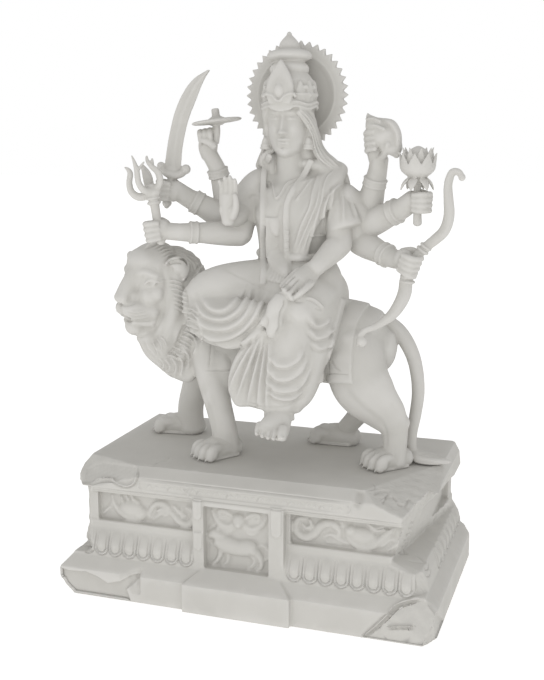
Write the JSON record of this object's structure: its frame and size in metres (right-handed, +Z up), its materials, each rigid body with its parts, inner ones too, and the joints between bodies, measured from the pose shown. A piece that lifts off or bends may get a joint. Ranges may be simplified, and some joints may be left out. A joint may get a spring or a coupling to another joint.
{
  "type": "durga figure",
  "caption": "Carved stone durga seated on a striding lion, arms fanned out with her attributes and a toothed halo behind her, on a stepped plinth with friezes and a lotus band.",
  "frame": {"origin": "on the plinth's underside, below the goddess's seat", "axes": "+Z up, -Y out of the carved front that the goddess faces, -X the way the lion walks"},
  "size_m": [0.406, 0.255, 0.5904],
  "materials": {
    "plinth_stone": "matt, hand carved, worn and chipped",
    "statue_stone": "matt, hand carved and rubbed smooth"
  },
  "bodies": {
    "root": {"plinth": "plinth_stone", "statue": "statue_stone"}
  },
  "joints": []
}
